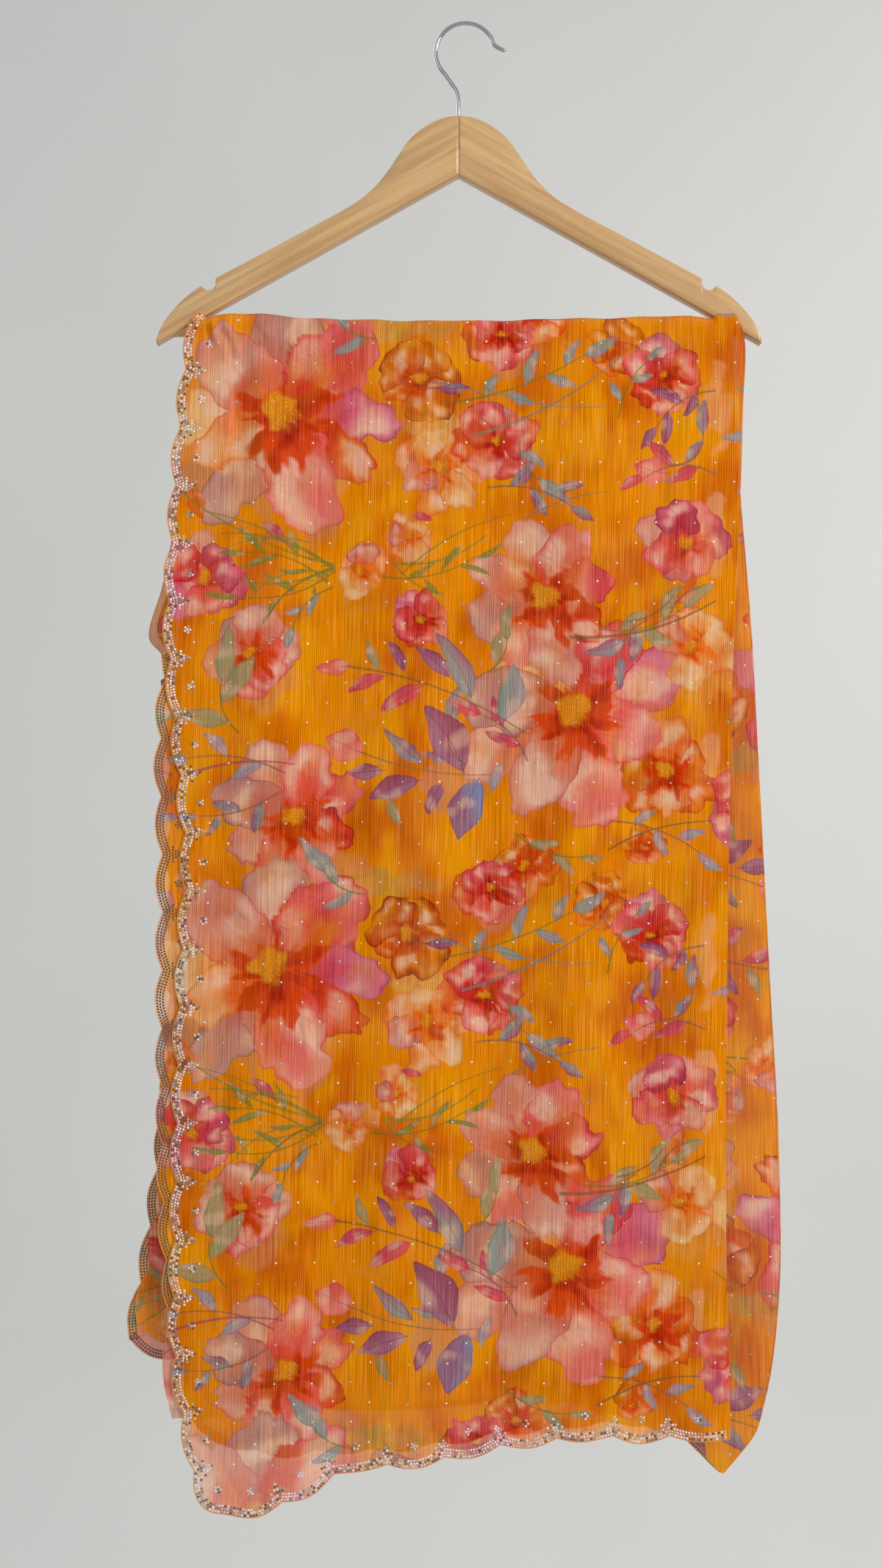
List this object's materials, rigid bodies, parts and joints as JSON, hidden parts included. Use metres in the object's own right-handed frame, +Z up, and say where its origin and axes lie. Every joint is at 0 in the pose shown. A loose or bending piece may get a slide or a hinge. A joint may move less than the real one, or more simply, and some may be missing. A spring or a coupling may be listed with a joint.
{
  "type": "chiffon saree on a wooden hanger",
  "caption": "Printed crinkle chiffon saree with a scalloped stone border, folded lengthwise and hung in passes over the trouser bar of a wooden hanger with a wire hook.",
  "frame": {"origin": "underside of the wire at the top of the hook, where a nail or rail holds it", "axes": "+Z up, +X towards the right arm of the hanger, -Y towards the side of the cloth that shows"},
  "size_m": [0.4836, 0.0276, 1.0952],
  "materials": {
    "hook_wire": "bright plated round wire",
    "hanger_wood": "satin clear lacquer over pale straight-grained wood",
    "chiffon": "sheer crinkled chiffon, mustard orange ground with a watercolour flower print"
  },
  "bodies": {
    "root": {"hook": "hook_wire", "arm_left": "hanger_wood", "arm_right": "hanger_wood", "trouser_bar": "hanger_wood", "bar_wrap": "chiffon", "front_fall": "chiffon", "front_inner_fall": "chiffon", "back_inner_fall": "chiffon", "back_fall": "chiffon"}
  },
  "joints": []
}
